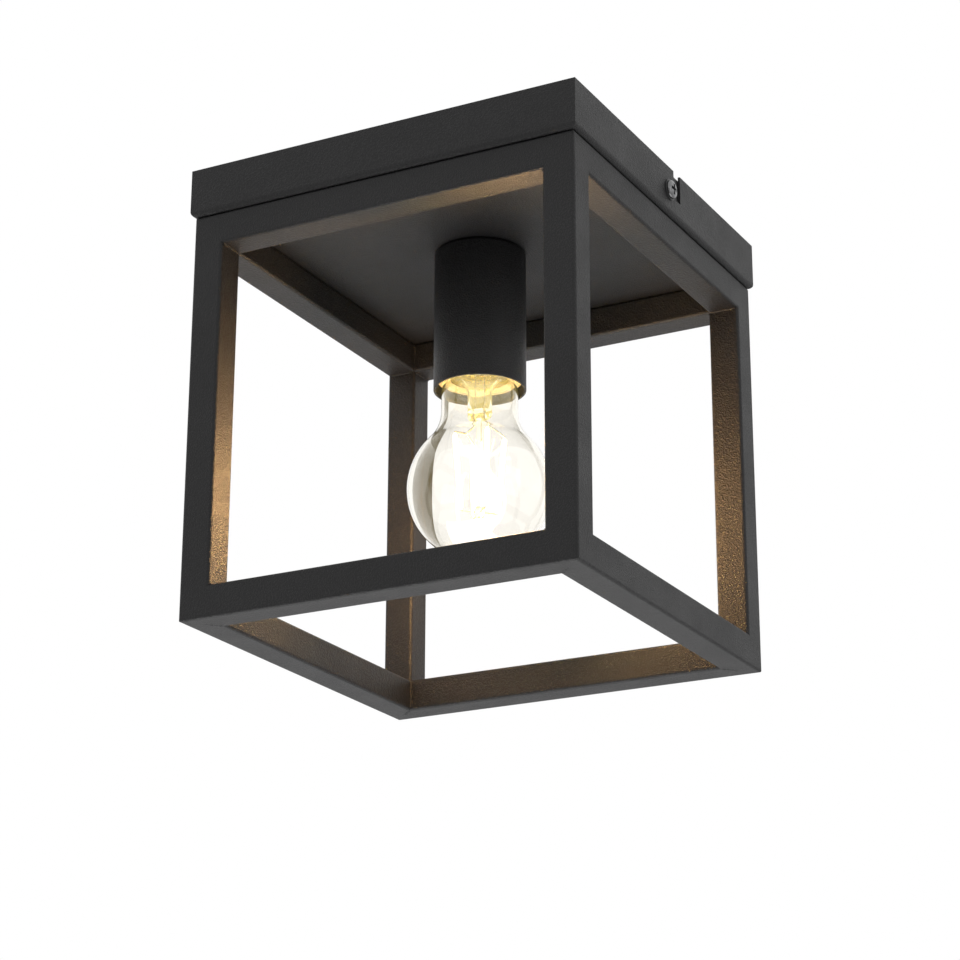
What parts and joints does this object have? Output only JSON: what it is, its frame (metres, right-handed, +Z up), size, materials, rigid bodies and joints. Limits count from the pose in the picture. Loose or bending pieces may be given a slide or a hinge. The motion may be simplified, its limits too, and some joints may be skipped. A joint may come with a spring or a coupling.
{
  "type": "ceiling lantern",
  "caption": "Open cube lantern for a porch ceiling: square canopy, square tube cage, tubular lampholder and clear filament lamp.",
  "frame": {"origin": "centre of the ceiling face, which is the top of the bracket bar and the level of the canopy's rim", "axes": "+Z up into the ceiling, +X towards the right side screw, -Y towards the front, and the lantern hangs down along -Z"},
  "size_m": [0.1854, 0.18, 0.198],
  "materials": {
    "black_paint": "fine textured matt powder coat",
    "bracket_paint": "satin black electrocoat",
    "chrome": "bright chrome plate",
    "washer_nylon": "matt black",
    "zinc": "bright zinc plate",
    "brass": "plain brass",
    "porcelain": "cream glaze",
    "block_nylon": "translucent natural",
    "wire_brown": "smooth insulation",
    "wire_blue": "smooth insulation",
    "wire_earth": "green and yellow insulation",
    "glass": "clear",
    "lead_wire": "bare wire",
    "filament": "lit, warm white",
    "insulator": "black vitrified glass",
    "cap_metal": "plain nickel plated screw cap",
    "board": "green circuit board"
  },
  "bodies": {
    "bracket": {"ceiling_bracket": "bracket_paint"},
    "lantern": {"canopy": "black_paint", "top_rail_front": "black_paint", "top_rail_right": "black_paint", "top_rail_back": "black_paint", "top_rail_left": "black_paint", "post_front_left": "black_paint", "post_front_right": "black_paint", "post_back_left": "black_paint", "post_back_right": "black_paint", "bottom_rail_front": "black_paint", "bottom_rail_right": "black_paint", "bottom_rail_back": "black_paint", "bottom_rail_left": "black_paint", "cage_screws": "zinc", "cage_rivet_nuts": "zinc", "hollow_nipple": "zinc", "nipple_nut": "zinc", "nipple_lock_washer": "zinc", "lampholder_sleeve": "black_paint", "lampholder_bridge": "zinc", "lampholder_core": "porcelain", "lampholder_screws": "zinc", "lampholder_shell": "brass", "lampholder_terminals": "brass", "holder_terminal_screws": "zinc", "centre_contact": "brass", "shell_contact": "brass", "terminal_block": "block_nylon", "terminal_inserts": "brass", "terminal_screws": "zinc", "terminal_stud": "zinc", "terminal_nut": "zinc", "earth_stud": "zinc", "earth_lug": "zinc", "earth_washer": "zinc", "earth_nut": "zinc", "live_wire": "wire_brown", "neutral_wire": "wire_blue", "earth_wire": "wire_earth"},
    "right_washer": {"side_washer_right": "washer_nylon"},
    "right_screw": {"side_screw_right": "chrome"},
    "left_washer": {"side_washer_left": "washer_nylon"},
    "left_screw": {"side_screw_left": "chrome"},
    "bulb_tip": {"bulb_contact": "brass"},
    "bulb": {"bulb_envelope": "glass", "bulb_stem": "glass", "bulb_wires": "lead_wire", "bulb_filaments": "filament", "bulb_cap": "cap_metal", "bulb_insulator": "insulator", "bulb_driver": "board"}
  },
  "joints": [
    {"name": "canopy_shift", "type": "slide", "parent": "bracket", "child": "lantern", "axis": [0, -1, 0], "range_m": [0, 0.0075]},
    {"name": "right_screw_travel", "type": "slide", "parent": "bracket", "child": "right_washer", "axis": [1, 0, 0], "range_m": [0, 0.0063]},
    {"name": "right_screw_turn", "type": "hinge", "parent": "right_washer", "child": "right_screw", "pos_m": [0.09, 0, -0.0106], "axis": [1, 0, 0], "range_deg": [0, 3240]},
    {"name": "left_screw_travel", "type": "slide", "parent": "bracket", "child": "left_washer", "axis": [-1, 0, 0], "range_m": [0, 0.0063]},
    {"name": "left_screw_turn", "type": "hinge", "parent": "left_washer", "child": "left_screw", "pos_m": [-0.09, 0, -0.0106], "axis": [-1, 0, 0], "range_deg": [0, 3240]},
    {"name": "bulb_travel", "type": "slide", "parent": "lantern", "child": "bulb_tip", "axis": [0, 0, -1], "range_m": [0, 0.02177]},
    {"name": "bulb_turn", "type": "hinge", "parent": "bulb_tip", "child": "bulb", "pos_m": [0, 0, -0.0527], "axis": [0, 0, -1], "range_deg": [0, 2160]}
  ],
  "couplings": [
    {"joint": "right_screw_turn", "follows": "right_screw_travel", "rad_per_m": 8976},
    {"joint": "left_screw_turn", "follows": "left_screw_travel", "rad_per_m": 8976},
    {"joint": "bulb_turn", "follows": "bulb_travel", "rad_per_m": 1731.4}
  ]
}
